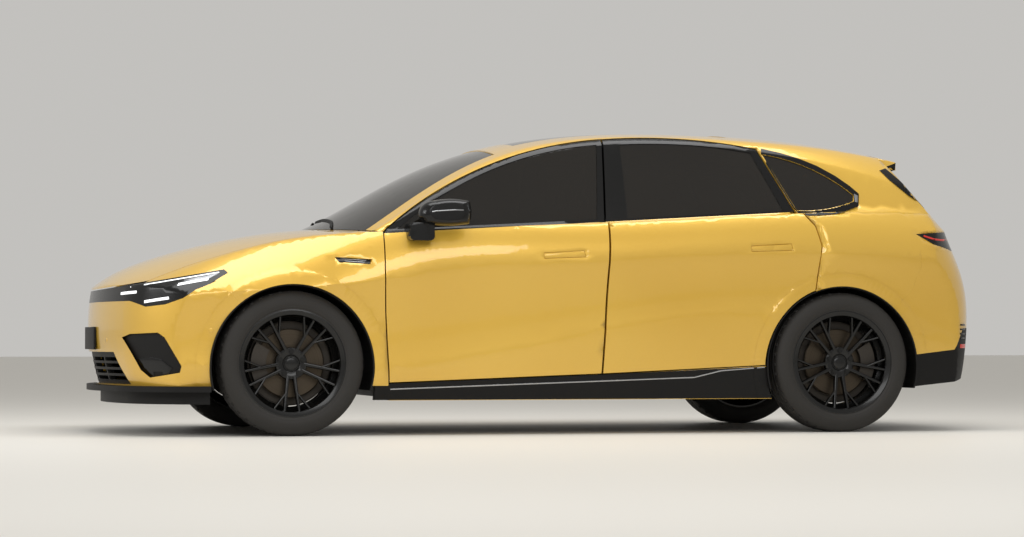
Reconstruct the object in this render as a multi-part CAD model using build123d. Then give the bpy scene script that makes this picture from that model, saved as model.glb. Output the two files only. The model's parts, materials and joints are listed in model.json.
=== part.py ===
from build123d import *
from math import cos, radians, sin, sqrt
import os

# A five-door electric hatchback, in millimetres: X points forward, Y to the left, Z up.
# The origin is on the ground, below the middle of the overall length and width.

# Overall sizes
LENGTH = 4440.0
WHEELBASE = 2735.0
FRONT_OVERHANG = 870.0
TRACK = 1600.0
GROUND_CLEARANCE = 160.0
FRONT_AXLE_X = LENGTH / 2 - FRONT_OVERHANG
REAR_AXLE_X = FRONT_AXLE_X - WHEELBASE
WHEEL_Y = TRACK / 2

# Clearances
SHUT_GAP = 6.0
DOOR_GAP = 10.0
ROOF_GAP = 10.0
FIT_GAP = 0.3
FAR = 3000.0

# Panel thicknesses, measured inwards from the outer skin
PANEL_T = 30.0
DOOR_T = 90.0
DOOR_FRAME_T = 36.0
GLASS_T = 5.0
GLASS_SET_BACK = 4.0
FRAME_T = 150.0
PILLAR_T = 78.0
SILL_TRIM_T = 40.0

# Wheel arches
ARCH_R = 392.0
ARCH_Z = 325.0
LINER_T = 7.0
FLARE_R = 455.0
FLARE_T = 4.0
FLARE_REAR_END = 912.0

# Body sections across the car, front to rear; widths are half widths
# x, crease y and z, shoulder y and z, edge y and z, middle z
LOWER_SECTIONS = [
    (2240, 770, 335, 800, 545, 590, 625, 668),
    (1950, 860, 335, 885, 640, 690, 758, 843),
    (1650, 895, 330, 915, 680, 735, 855, 928),
    (1350, 905, 315, 930, 700, 760, 930, 984),
    (950, 912, 305, 934, 735, 850, 968, 1010),
    (0, 915, 465, 938, 812, 886, 1013, 1030),
    (-900, 915, 585, 938, 862, 884, 1062, 1075),
    (-1400, 910, 560, 936, 868, 868, 1085, 1095),
    (-1900, 870, 450, 905, 850, 790, 1080, 1090),
    (-2260, 800, 420, 850, 830, 700, 1040, 1050),
]
SILL_TURN_IN = 40.0
SILL_BULGE = 2.0
SIDE_HOLLOW = 12.0
SHOULDER_BULGE = 18.0

# Cabin sections: x, foot y, glass y and z at the top, roof edge y and z, middle z
CABIN_SECTIONS = [
    (1300, 700, 690, 905, 640, 912, 962),
    (900, 868, 839, 984, 772, 1004, 1142),
    (310, 876, 745, 1292, 665, 1345, 1408),
    (-400, 874, 701, 1418, 620, 1458, 1505),
    (-1100, 868, 707, 1376, 615, 1438, 1492),
    (-1600, 846, 730, 1270, 600, 1382, 1440),
    (-2100, 800, 730, 1130, 560, 1290, 1350),
]
CABIN_FOOT_Z = 800.0
GLASS_BULGE = 8.0
RAIL_BULGE = 10.0

# Nose and tail in plan: z, nose x, tail x
NOSE_TAIL = [
    (120, 2110, -2120),
    (300, 2190, -2195),
    (540, 2215, -2219.2),
    (720, 2195, -2205),
    (880, 2150, -2150),
    (1000, 2100, -2100),
]
REAR_WINDOW = [(1000, 2300, -2100), (1600, 2300, -1540)]
NOSE_BOW_R = 1900.0
TAIL_BOW_R = 2600.0
NOSE_CORNER_R = 520.0
TAIL_CORNER_R = 380.0
TRIM_Y = 945.0

# Shut lines and openings seen from the side, as (x, z); "via" marks a point that an arc passes through
DOOR_FRONT_CUT = [(884, 252), (904, 587), (909, 780), (905, 962)]
DOOR_MID_CUT = [(-163, 292), (-217, 1434)]
DOOR_REAR_CUT = [(-1005, 1397), (-1165, 1100), (-1240, 1011), (-1266, 913), (-1252, 788)]
FRONT_DOOR_TOP = [("via", (330, 1310)), (880, 988)]
REAR_DOOR_TOP = ("via", (-630, 1441))
FRONT_WINDOW = [(838, 982), ("via", (330, 1288)), (-186, 1409), (-158, 1038)]
REAR_WINDOW_SIDE = [(-302, 1412), ("via", (-640, 1416)), (-975, 1380), (-1118, 1090), (-312, 1046)]
QUARTER_WINDOW = [(-1035, 1372), ("via", (-1310, 1290)), (-1495, 1172), (-1490, 1142), ("via", (-1350, 1104)),
                  (-1187, 1094)]
LAMP_OUTLINE = [(2400, 660), (2217, 691), (1665, 786), (1650, 769), (1751, 711), (1809, 688), (1866, 649),
                (1944, 620), (2026, 610), (2089, 638), (2400, 635)]
BUMPER_REAR_LINE = [(1591, 619), (1711, 729)]
TAIL_LAMP_OUTLINE = [(-1780, 978), (-1870, 927), (-2010, 900), (-2400, 900), (-2400, 994), (-2011, 994)]
REAR_BUMPER_LINE = [(-1793, 897), (-1798, 813), (-1753, 697), (-1697, 640), (-1600, 540)]
DIFFUSER_TOP = [(-1700, 372), (-1994, 405), (-2055, 511), (-2400, 520)]
DIFFUSER_FOOT = [(-2400, 300), (-2131, 271), (-2005, 245), (-1700, 215)]
DUCT_OUTLINE = [(2119, 466), (2090, 482), (1975, 488), (1946, 466), (1870, 330), (1877, 300), (2003, 276),
                (2042, 312)]

FENDER_VENT = [(1148, 847), (970, 836), (978, 811), (1130, 822)]
VENT_DEPTH = 9.0
FRONT_HANDLE = [(139, 872), (-62, 884), (-73, 850), (139, 842)]
REAR_HANDLE = [(-905, 913), (-1112, 925), (-1122, 890), (-905, 882)]
GROOVE_W = 4.0
# The mirror's outline about its centre, and its sections as (y, size)
MIRROR_CENTRE = (633, 1060)
MIRROR_OUTLINE = [(124, -26), ("via", (112, 26)), (60, 52), ("via", (-40, 62)), (-112, 54), ("via", (-124, 0)),
                  (-112, -54), ("via", (10, -64)), (100, -54)]
MIRROR_SECTIONS = [(925, 0.84), (950, 0.98), (1010, 0.96), (1040, 0.66)]
APERTURE_RIM = 58.0
DOOR_HEM = 22.0
POCKET_DROP = 24.0
# The line, seen from above as (x, y), that the tops of the doors keep outside
DOOR_TOP_LINE = [(930, 800), (600, 757), (330, 690), (-250, 645), (-1300, 645)]
# Where a door's rear edge is stepped: from x to x, and the outline as (y, z) of what is set back there
FRONT_DOOR_STEP = (-300, 300), [(0, 0), (885, 0), (885, 960), (860, 1005), (798, 1036), (686, 1395), (600, 1440),
                                (0, 1440)]
REAR_DOOR_STEP = (-1300, -985), [(0, 0), (885, 0), (885, 1010), (856, 1062), (776, 1094), (676, 1400), (600, 1440),
                                 (0, 1440)]
DOOR_BUFFERS = [(-142, 640), (-1222, 880)]
BUFFER_R = 9.0

# Openings seen from the front or rear, as (y, z)
GRILLE_OUTLINE = [(-480, 396), (480, 396), (600, 243), (-600, 243)]
GRILLE_SLOTS = 4
GRILLE_PITCH = 30.0
GRILLE_SLOT_H = 18.0
TAILGATE_OUTLINE = [(-572, 1600), (572, 1600), (655, 1010), (590, 640), (-590, 640), (-655, 1010)]
REAR_GLASS_OUTLINE = [(-500, 1300), (500, 1300), (580, 1102), (-580, 1102)]

# Outlines seen from above, as (x, y)
HOOD_SIDE = [(1005, 748), (1790, 700), (2300, 690)]
WINDSCREEN_CORNERS = [(306, 585), (1010, 735), (1300, 735)]
ROOF_EDGE_Y = 590.0
ROOF_FRONT_X = 300.0
ROOF_REAR_X = -1684.0
SUNROOF = (180.0, -930.0, 470.0)
SPOILER_TIP_X = -1850.0

# Wheels: the tyre is a 225/45 R19
TYRE_R = 342.5
TYRE_HALF_W = 112.5
BEAD_R = 241.3
FLANGE_R = 258.0
RIM_HALF_W = 104.0
SPOKE_PAIRS = 5
HUB_R = 72.0
SPINDLE_R = 31.7
SPINDLE_BORE_R = 32.0
DISC_R = 165.0
DISC_Y = (-14.0, 12.0)
CALIPER_R = (118.0, 190.0)
SPOKE_T = (30.0, 24.0)

# Steering: a vertical kingpin inside each front rim
KINGPIN_Y = 755.0
KINGPIN_R = 8.0
KNUCKLE_BOSS_R = 24.0
LOWER_ARM_Z = (180.0, 205.0)
UPPER_ARM_Z = (480.0, 505.0)

# Floor, rails and interior
FLOOR_Z = (292.0, 322.0)
CARGO_Z = (420.0, 440.0)
FLOOR_X = (-1050.0, 890.0)
FIREWALL_T = 30.0
RAIL_Y = (385.0, 429.7)
RAIL_Z = (380.0, 480.0)
BEAM_Y = 470.0
TUB_FRONT_X = 1950.0
TUB_WALL = 12.0
TUB_DROP = 60.0
LINER_Y_FRONT = 490.0
LINER_Y_REAR = 560.0
LINER_Y_OUT = 908.0
SEAT_Y = 370.0
STEERING_WHEEL_AT = (430.0, 370.0, 905.0)
STEERING_WHEEL_R = 180.0
COLUMN_TILT = 25.0
COLUMN_R = 12.0

# Stops below the hood, and the hinge of the tailgate with its axis as (x, z)
HOOD_STOPS_X = (1200.0, 1750.0)
TAILGATE_AXIS = (-1680, 1418)
TAILGATE_HINGE_Y = 150.0
TAILGATE_EYE_W = 22.0
TAILGATE_PIN_R = 5.0


# Outlines, prisms and revolved shapes

def edges_of(path, place):
    """Edges of a closed outline through path, where ("via", point) makes an arc through that point."""
    made, start, via = [], path[0], None
    for step in [*path[1:], path[0]]:
        if step[0] == "via":
            via = step[1]
            continue
        if via is None:
            made.append(Line(place(*start), place(*step)))
        else:
            made.append(ThreePointArc(place(*start), place(*via), place(*step)))
        start, via = step, None
    return made


def side_face(path, grow=0.0):
    face = Face(Wire(edges_of(path, lambda x, z: (x, 0, z))))
    return offset(face, amount=grow, kind=Kind.INTERSECTION).faces()[0] if grow else face


def side_prism(path, y_from, y_to, grow=0.0):
    """What lies behind an outline seen from the side, between two values of y."""
    face = side_face(path, grow).moved(Location((0, y_from, 0)))
    return extrude(face, amount=y_to - y_from, dir=(0, 1, 0))


def front_prism(path, x_from, x_to, grow=0.0):
    face = Face(Wire(edges_of(path, lambda y, z: (x_from, y, z))))
    face = offset(face, amount=grow, kind=Kind.INTERSECTION).faces()[0] if grow else face
    return extrude(face, amount=x_to - x_from, dir=(1, 0, 0))


def plan_prism(path, z_from, z_to, grow=0.0):
    face = Face(Wire(edges_of(path, lambda x, y: (x, y, z_from))))
    face = offset(face, amount=grow, kind=Kind.INTERSECTION).faces()[0] if grow else face
    return extrude(face, amount=z_to - z_from, dir=(0, 0, 1))


def block(x, y, z):
    """A box between two values along each axis."""
    return Pos(sum(x) / 2, sum(y) / 2, sum(z) / 2) * Box(abs(x[1] - x[0]), abs(y[1] - y[0]), abs(z[1] - z[0]))


def across(radius, x, z, y_from, y_to):
    """A cylinder that lies across the car."""
    made = Cylinder(radius, abs(y_to - y_from), rotation=(90, 0, 0))
    return Pos(x, (y_from + y_to) / 2, z) * made


def group(solids):
    """One node of several solids, or the solid itself where there is only one."""
    return solids[0] if len(solids) == 1 else Compound(children=solids)


def mirrored(shape):
    """The twin of a piece, on the other side of the car."""
    return group([solid.mirror(Plane.XZ) for solid in shape.solids()])


def both(shape):
    """A piece of the left side with its twin on the right."""
    return group([*shape.solids(), *mirrored(shape).solids()])


# The body's outer shape

def bulged(a, b, out):
    """The point half way from a to b, moved out to the right of the way from a to b."""
    (ay, az), (by, bz) = a, b
    run, rise = by - ay, bz - az
    length = sqrt(run * run + rise * rise)
    return ((ay + by) / 2 + out * rise / length, (az + bz) / 2 - out * run / length)


def section(x, right, crown_z):
    """A closed section across the car at x. right lists (point, bulge towards the next point) from the bottom up."""
    left_edges, right_edges = [], []
    for (start, bulge), (end, _) in zip(right, right[1:]):
        middle = bulged(start, end, bulge)
        right_edges.append(ThreePointArc(*[(x, y, z) for y, z in (start, middle, end)]))
        left_edges.insert(0, ThreePointArc(*[(x, -y, z) for y, z in (end, middle, start)]))
    (first_y, first_z), (last_y, last_z) = right[0][0], right[-1][0]
    floor = Line((x, -first_y, first_z), (x, first_y, first_z))
    crown = ThreePointArc((x, last_y, last_z), (x, 0, crown_z), (x, -last_y, last_z))
    return Face(Wire([floor, *right_edges, crown, *left_edges]))


def plan_slice(z, nose_x, tail_x, half_width):
    """A slice of the nose and tail shape at height z, with bowed ends and round corners."""
    nose_side = nose_x - NOSE_BOW_R + sqrt(NOSE_BOW_R**2 - half_width**2)
    tail_side = tail_x + TAIL_BOW_R - sqrt(TAIL_BOW_R**2 - half_width**2)
    made = Face(Wire([
        ThreePointArc((nose_side, -half_width, z), (nose_x, 0, z), (nose_side, half_width, z)),
        Line((nose_side, half_width, z), (tail_side, half_width, z)),
        ThreePointArc((tail_side, half_width, z), (tail_x, 0, z), (tail_side, -half_width, z)),
        Line((tail_side, -half_width, z), (nose_side, -half_width, z)),
    ]))
    made = made.fillet_2d(NOSE_CORNER_R, [v for v in made.vertices() if v.X > 0])
    return made.fillet_2d(TAIL_CORNER_R, sorted(made.vertices(), key=lambda v: v.X)[:2])


def low_ends(inset):
    """What the nose and tail leave of the body below the rear window."""
    return loft([plan_slice(z, nose - inset, tail + inset, TRIM_Y - inset) for z, nose, tail in NOSE_TAIL])


def high_ends(inset):
    """What the rear window's slope leaves of the body above the waist."""
    rows = [plan_slice(z, nose - inset, tail + inset, TRIM_Y - inset) for z, nose, tail in REAR_WINDOW]
    return loft(rows, ruled=True)


def lower_body(inset):
    """The body below the windows, set in from its skin, before the nose and tail are shaped."""
    faces = []
    for x, crease_y, crease_z, shoulder_y, shoulder_z, edge_y, edge_z, middle_z in LOWER_SECTIONS:
        right = [
            ((crease_y - SILL_TURN_IN - inset, GROUND_CLEARANCE), SILL_BULGE),
            ((crease_y - inset, crease_z), -SIDE_HOLLOW),
            ((shoulder_y - inset, shoulder_z), SHOULDER_BULGE),
            ((edge_y - inset, edge_z - inset), 0),
        ]
        faces.append(section(x, right, middle_z - inset))
    return loft(faces)


def cabin(inset):
    """The glasshouse from below the waist up, set in from its skin, before the tail is shaped."""
    faces = []
    for x, foot_y, glass_y, glass_z, roof_y, roof_z, middle_z in CABIN_SECTIONS:
        right = [
            ((foot_y - inset, CABIN_FOOT_Z), GLASS_BULGE),
            ((glass_y - inset, glass_z - inset / 2), RAIL_BULGE),
            ((roof_y - inset, roof_z - inset), 0),
        ]
        faces.append(section(x, right, middle_z - inset))
    return loft(faces)


def lower_shape(inset):
    body = lower_body(inset)
    return (body & low_ends(inset)) + (body & high_ends(inset))


def cabin_shape(inset, end_inset):
    return cabin(inset) & (low_ends(end_inset) + high_ends(end_inset))


def envelope(inset, cabin_inset):
    return lower_shape(inset) + cabin_shape(cabin_inset, inset)


def arch(axle_x, radius, y_from, y_to):
    return across(radius, axle_x, ARCH_Z, y_from, y_to)


def arches(axle_x, radius):
    return arch(axle_x, radius, 300, FAR) + arch(axle_x, radius, -FAR, -300)


def flares():
    """The body a little larger, where raised rims go round the wheel arches."""
    front = arches(FRONT_AXLE_X, FLARE_R) & block((FLARE_REAR_END, FAR), (-FAR, FAR), (0, FAR))
    return (lower_body(-FLARE_T) & low_ends(-FLARE_T)) & (front + arches(REAR_AXLE_X, FLARE_R))


LOWER_SKIN = lower_shape(0) + flares()
LOWER_INNER = lower_shape(PANEL_T)
LOWER_SHELL = LOWER_SKIN - LOWER_INNER
CABIN_SKIN = cabin_shape(0, 0)
CABIN_GAP = cabin(-SHUT_GAP)
GLASS_SHELL = cabin(GLASS_SET_BACK) - cabin(GLASS_SET_BACK + GLASS_T)
OUTER = LOWER_SKIN + CABIN_SKIN
OUTER_LEFT = OUTER & block((-FAR, FAR), (0, FAR), (0, FAR))
DOOR_INNER = envelope(DOOR_T, DOOR_FRAME_T)
DOOR_SHELL_LEFT = OUTER_LEFT - DOOR_INNER
POCKET_LEFT = DOOR_INNER.moved(Location((0, -SHUT_GAP - 1, -POCKET_DROP)))
FRAME_INNER = envelope(FRAME_T, PILLAR_T)


# Outlines worked out from the shut lines

def shifted(path, dx=0.0, dz=0.0):
    return [(x + dx, z + dz) for x, z in path]


def front_door_path():
    half = DOOR_GAP / 2
    return [*DOOR_FRONT_CUT[:1], *shifted(DOOR_MID_CUT, half), *FRONT_DOOR_TOP, *reversed(DOOR_FRONT_CUT[1:])]


def rear_door_path():
    """The rear door's outline; its lower rear corner follows the wheel arch."""
    radius = ARCH_R + SHUT_GAP
    top_x = DOOR_REAR_CUT[-1][0] + 12
    foot_z = 331.0
    corners = [(top_x, ARCH_Z + sqrt(radius**2 - (top_x - REAR_AXLE_X) ** 2)),
               (REAR_AXLE_X + sqrt(radius**2 - (foot_z - ARCH_Z) ** 2), foot_z)]
    via = (REAR_AXLE_X + radius * cos(radians(38)), ARCH_Z + radius * sin(radians(38)))
    front = shifted(DOOR_MID_CUT, -DOOR_GAP / 2)
    return [*front, REAR_DOOR_TOP, *DOOR_REAR_CUT, corners[0], ("via", via), corners[1]]


def hood_path():
    return [*HOOD_SIDE, *[(x, -y) for x, y in reversed(HOOD_SIDE)]]


def windscreen_path():
    return [*WINDSCREEN_CORNERS, *[(x, -y) for x, y in reversed(WINDSCREEN_CORNERS)]]


def roof_path(front_x=ROOF_FRONT_X, rear_x=ROOF_REAR_X):
    return [(front_x, ROOF_EDGE_Y), (rear_x, ROOF_EDGE_Y), (rear_x, -ROOF_EDGE_Y), (front_x, -ROOF_EDGE_Y)]


def sunroof_path():
    front, rear, y = SUNROOF
    return [(front, y), (rear, y), (rear, -y), (front, -y)]


def sill_path():
    (front_x, front_z), (mid_x, mid_z) = DOOR_FRONT_CUT[0], DOOR_MID_CUT[0]
    return [(955, 168), (955, 235), (front_x + SHUT_GAP, 235), (front_x, front_z - SHUT_GAP),
            (mid_x, mid_z - SHUT_GAP), (-1040, 331 - SHUT_GAP), (-1040, 168)]


def below_lamp(drop):
    """The lower edge of the lamp band, from its tip forward."""
    return shifted(LAMP_OUTLINE[4:], dz=-drop)


# Body panels

def make_hood():
    top_edge = [(2400, 660), (2217, 691), (1665, 786), (1640, 790), (0, 800)]
    above = [*shifted(top_edge, dz=SHUT_GAP), (0, 1700), (2400, 1700)]
    made = LOWER_SHELL & plan_prism(hood_path(), 600, 1200)
    return (made & side_prism(above, -FAR, FAR)) - CABIN_GAP


def make_fender():
    cuts = shifted(DOOR_FRONT_CUT, SHUT_GAP)
    path = [(cuts[0][0], 236), *cuts[1:], (cuts[-1][0] - 10, 1150), (2100, 1150), (2100, 690),
            (1720, 750), *reversed(shifted(BUMPER_REAR_LINE, -FIT_GAP)), (1350, 236)]
    made = LOWER_SHELL & side_prism(path, 400, FAR)
    made = made - plan_prism(hood_path(), 500, 1300, grow=SHUT_GAP)
    made = made - side_prism(LAMP_OUTLINE, 0, FAR, grow=FIT_GAP)
    made = made - (side_prism(FENDER_VENT, 700, FAR) - lower_body(VENT_DEPTH))
    return made - arch(FRONT_AXLE_X, ARCH_R, 300, FAR) - CABIN_GAP


def make_front_bumper():
    path = [(2400, 236), (1400, 236), (1400, 325), *BUMPER_REAR_LINE, *below_lamp(FIT_GAP)]
    made = LOWER_SHELL & side_prism(path, -FAR, FAR)
    made = made - arches(FRONT_AXLE_X, ARCH_R)
    made = made - front_prism(GRILLE_OUTLINE, 1900, 2500)
    duct = side_prism(DUCT_OUTLINE, 480, FAR)
    return made - duct - mirrored(duct)


def make_headlamps():
    return LOWER_SHELL & side_prism(LAMP_OUTLINE, -FAR, FAR)


def make_front_grille():
    """Slats across the lower opening, with a solid insert in each corner duct."""
    depth = low_ends(14) - low_ends(44)
    face = depth & front_prism(GRILLE_OUTLINE, 1950, 2400, grow=-FIT_GAP)
    grille = face
    for row in range(GRILLE_SLOTS):
        z = GRILLE_OUTLINE[2][1] + 20 + row * GRILLE_PITCH
        for side in (-1, 1):
            for near, far in ((14, 270), (290, 560)):
                grille = grille - block((1900, 2400), (side * near, side * far), (z, z + GRILLE_SLOT_H))
    duct = depth & side_prism(DUCT_OUTLINE, 480, FAR, grow=-FIT_GAP)
    return group([*grille.solids(), *both(duct).solids()])


def make_splitter():
    lip = extrude(plan_slice(208, LENGTH / 2, -2100, TRIM_Y - 25), amount=236 - FIT_GAP - 208)
    keel = extrude(plan_slice(150, 2150, -2100, TRIM_Y - 60), amount=60)
    made = (lip + keel) & block((1735, 2400), (-FAR, FAR), (100, 300))
    return made - arches(FRONT_AXLE_X, ARCH_R)


def make_rear_bumper():
    top = shifted(DIFFUSER_TOP, dz=FIT_GAP)
    path = [*REAR_BUMPER_LINE, (-1600, top[0][1]), *top, (-2400, 897)]
    made = LOWER_SHELL & side_prism(path, -FAR, FAR)
    made = made - arches(REAR_AXLE_X, ARCH_R)
    return made - tailgate_zone(SHUT_GAP)


def make_diffuser():
    made = LOWER_SHELL & side_prism([*DIFFUSER_TOP, *DIFFUSER_FOOT], -FAR, FAR)
    return made - arches(REAR_AXLE_X, ARCH_R)


def make_roof():
    """The roof skin round its glass panel, with the two notches and pins that carry the tailgate."""
    made = (CABIN_SKIN & plan_prism(roof_path(), 1200, 1700)) - cabin(PANEL_T)
    made = made - plan_prism(sunroof_path(), 1000, 1800)
    x, z = TAILGATE_AXIS
    for y in (-TAILGATE_HINGE_Y, TAILGATE_HINGE_Y):
        made = made - block((x - 20, x + 20), (y - TAILGATE_EYE_W, y + TAILGATE_EYE_W), (1200, 1600))
        made = made + across(TAILGATE_PIN_R, x, z, y - TAILGATE_EYE_W - 2, y + TAILGATE_EYE_W + 2)
    return made


def make_sunroof():
    return GLASS_SHELL & plan_prism(sunroof_path(), 1200, 1700, grow=-FIT_GAP)


def make_windscreen():
    return (GLASS_SHELL & plan_prism(windscreen_path(), 900, 1700)) - lower_body(-FIT_GAP)


def tailgate_zone(grow):
    return front_prism(TAILGATE_OUTLINE, -2500, ROOF_REAR_X - ROOF_GAP + grow, grow=grow)


def make_spoiler():
    front_x, side_x, y = ROOF_REAR_X - ROOF_GAP, -1790, ROOF_EDGE_Y - SHUT_GAP
    path = [(front_x, y), (front_x, -y), (side_x, 10 - y), ("via", (SPOILER_TIP_X, 0)), (side_x, y - 10)]
    return (cabin(0) - cabin(PANEL_T)) & plan_prism(path, 1150, 1700)


def make_tailgate():
    made = (OUTER & tailgate_zone(0)) - DOOR_INNER
    made = made - (side_prism(TAIL_LAMP_OUTLINE, -FAR, FAR, grow=FIT_GAP) - LOWER_INNER)
    made = made - front_prism(REAR_GLASS_OUTLINE, -2500, -1500)
    made = made + make_spoiler()
    x, z = TAILGATE_AXIS
    y_from, y_to = TAILGATE_HINGE_Y - TAILGATE_EYE_W / 2, TAILGATE_HINGE_Y + TAILGATE_EYE_W / 2
    arm = side_prism([(x, z - 7), (x, z + 7), (x - 40, z - 2), (x - 40, z - 24)], y_from, y_to)
    arm = arm + across(TAILGATE_PIN_R + 3, x, z, y_from, y_to)
    arm = arm - across(TAILGATE_PIN_R + FIT_GAP, x, z, 0, FAR)
    return made + arm + mirrored(arm)


def make_tailgate_glass():
    pane = high_ends(GLASS_SET_BACK) - high_ends(GLASS_SET_BACK + GLASS_T)
    return pane & front_prism(REAR_GLASS_OUTLINE, -2500, -1500, grow=-FIT_GAP)


def tail_lamp_band():
    return LOWER_SHELL & side_prism(TAIL_LAMP_OUTLINE, -FAR, FAR)


def make_tailgate_lamp():
    return tail_lamp_band() & tailgate_zone(0)


def make_tail_lamps():
    return tail_lamp_band() - tailgate_zone(SHUT_GAP)


# Doors, and the frame that carries them

def groove(path):
    """A narrow channel along an outline on the side, as round a flush handle."""
    ring = side_prism(path, 800, FAR) - side_prism(path, 800, FAR, grow=-GROOVE_W)
    return ring - lower_body(GROOVE_W)


def door_zone(grow):
    """What lies outside the line of the doors' tops, or of that line moved inwards."""
    line = shifted(DOOR_TOP_LINE, dz=-grow)
    return plan_prism([*line, (line[-1][0], FAR), (line[0][0], FAR)], 0, 1700)


def make_door(path, window, handle, step):
    """A door whose inner part is set back along its rear edge, so that it swings out clear of its neighbours."""
    (x_from, x_to), section_path = step
    made = (DOOR_SHELL_LEFT & side_prism(path, 300, FAR) & door_zone(0)) - side_prism(window, 300, FAR)
    rim = side_prism(path, 0, FAR, grow=1) - side_prism(path, 0, FAR, grow=-DOOR_HEM)
    return made - groove(handle) - (rim & front_prism(section_path, x_from, x_to))


def make_door_glass(window):
    return GLASS_SHELL & side_prism(window, 300, FAR, grow=-FIT_GAP)


def make_mirror():
    """A mirror housing on a foot that stands on the door just below its window."""
    x, z = MIRROR_CENTRE
    faces = []
    for y, size in MIRROR_SECTIONS:
        face = Face(Wire(edges_of(MIRROR_OUTLINE, lambda dx, dz: (x + size * dx, y, z + size * dz))))
        faces.append(face)
    housing = loft(faces)
    foot = fillet(block((684, 802), (840, 985), (925, 1010)).edges().filter_by(Axis.Y), 20)
    return (housing + foot) - lower_body(-FIT_GAP) - cabin(-FIT_GAP)


def make_side_frame():
    """Sill, pillars, roof rail and quarter panel of one side, with the buffers that its closed doors rest on."""
    line = shifted(REAR_BUMPER_LINE, FIT_GAP)
    path = [(880, 166), (897, 587), (900, 780), (897, 964), (1015, 992), (1015, 1600), (-2300, 1600),
            (-2300, line[0][1] + FIT_GAP), *line, (line[-1][0], 166)]
    made = (OUTER_LEFT & side_prism(path, 300, FAR)) - FRAME_INNER
    for door in (front_door_path(), rear_door_path()):
        made = made - ((side_prism(door, 300, FAR, grow=SHUT_GAP) & door_zone(SHUT_GAP)) - POCKET_LEFT)
        made = made - side_prism(door, 0, FAR, grow=-APERTURE_RIM)
    made = made - side_prism(QUARTER_WINDOW, 300, FAR)
    made = made - arch(REAR_AXLE_X, ARCH_R, 300, FAR)
    roof_hole = roof_path(WINDSCREEN_CORNERS[0][0] + SHUT_GAP, ROOF_REAR_X - ROOF_GAP - SHUT_GAP)
    made = made - plan_prism(roof_hole, 1000, 1800, grow=FIT_GAP)
    made = made - plan_prism(windscreen_path(), 900, 1800, grow=FIT_GAP)
    made = made - tailgate_zone(SHUT_GAP)
    made = made - (lower_body(-FIT_GAP) & block((DOOR_FRONT_CUT[-1][0], 1100), (0, FAR), (900, 1100)))
    made = made - (side_prism(TAIL_LAMP_OUTLINE, 0, FAR, grow=FIT_GAP) - LOWER_INNER)
    made = made - (side_prism(sill_path(), 300, FAR, grow=FIT_GAP) - lower_body(SILL_TRIM_T + FIT_GAP))
    made = max(made.solids(), key=lambda solid: solid.volume)
    seat = DOOR_INNER.moved(Location((0, -FIT_GAP, 0))) - FRAME_INNER
    for x, z in DOOR_BUFFERS:
        made = made + (across(BUFFER_R, x, z, 0, FAR) & seat)
    return made


def make_sill_trim():
    made = (LOWER_SKIN & side_prism(sill_path(), 300, FAR)) - lower_body(SILL_TRIM_T)
    return made - arch(FRONT_AXLE_X, ARCH_R, 300, FAR) - arch(REAR_AXLE_X, ARCH_R, 300, FAR)


# Floor, liners and drive

def make_floor_pan():
    """Floor, bulkhead, front rails with the bumper beam, and the cargo floor with the rear panel."""
    inside = lower_body(FRAME_T + FIT_GAP)
    floor = block(FLOOR_X, (-FAR, FAR), FLOOR_Z) & inside
    floor = floor - arch(REAR_AXLE_X, ARCH_R, LINER_Y_REAR - FIT_GAP, FAR)
    floor = floor - arch(REAR_AXLE_X, ARCH_R, -FAR, FIT_GAP - LINER_Y_REAR)
    firewall = block((FLOOR_X[1] - FIREWALL_T, FLOOR_X[1]), (-FAR, FAR), (FLOOR_Z[0], 1000)) & inside
    made = floor + firewall
    for side in (-1, 1):
        rail_y = sorted(side * y for y in RAIL_Y)
        made = made + block((FLOOR_X[1] - FIREWALL_T, 2090), rail_y, RAIL_Z)
    made = made + (block((2060, 2300), (-BEAM_Y, BEAM_Y), (400, RAIL_Z[1])) & low_ends(PANEL_T + FIT_GAP))
    y = LINER_Y_REAR - FIT_GAP
    made = made + block((FLOOR_X[0] - FIREWALL_T, FLOOR_X[0]), (-y, y), (FLOOR_Z[0], CARGO_Z[1]))
    behind = block((-2300, FLOOR_X[0]), (-y, y), CARGO_Z) + block((-2300, -2150), (-450, 450), (300, 630))
    return made + (behind & low_ends(PANEL_T + FIT_GAP))


def make_wheel_liners():
    outer, inner = ARCH_R - FIT_GAP, ARCH_R - FIT_GAP - LINER_T
    keep = block((-FAR, FAR), (0, FAR), (215, FAR))
    front = arch(FRONT_AXLE_X, outer, LINER_Y_FRONT, LINER_Y_OUT) - arch(FRONT_AXLE_X, inner, 0, FAR)
    rear = arch(REAR_AXLE_X, outer, LINER_Y_REAR, LINER_Y_OUT) - arch(REAR_AXLE_X, inner, 0, FAR)
    wall = arch(REAR_AXLE_X, outer, LINER_Y_REAR, LINER_Y_REAR + LINER_T) & block((-FAR, FAR), (0, FAR), (480, FAR))
    return both(group([*(front & keep).solids(), *((rear & keep) + wall).solids()]))


def make_battery():
    top = FLOOR_Z[0] - FIT_GAP
    return chamfer(block((-720, 800), (-640, 640), (170, top)).edges().filter_by(Axis.Z), 60)


def make_drive_unit():
    made = block((-1290, -1480), (-230, 230), (230, CARGO_Z[0] - FIT_GAP))
    return fillet(made.edges().filter_by(Axis.Y), 40)


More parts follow.
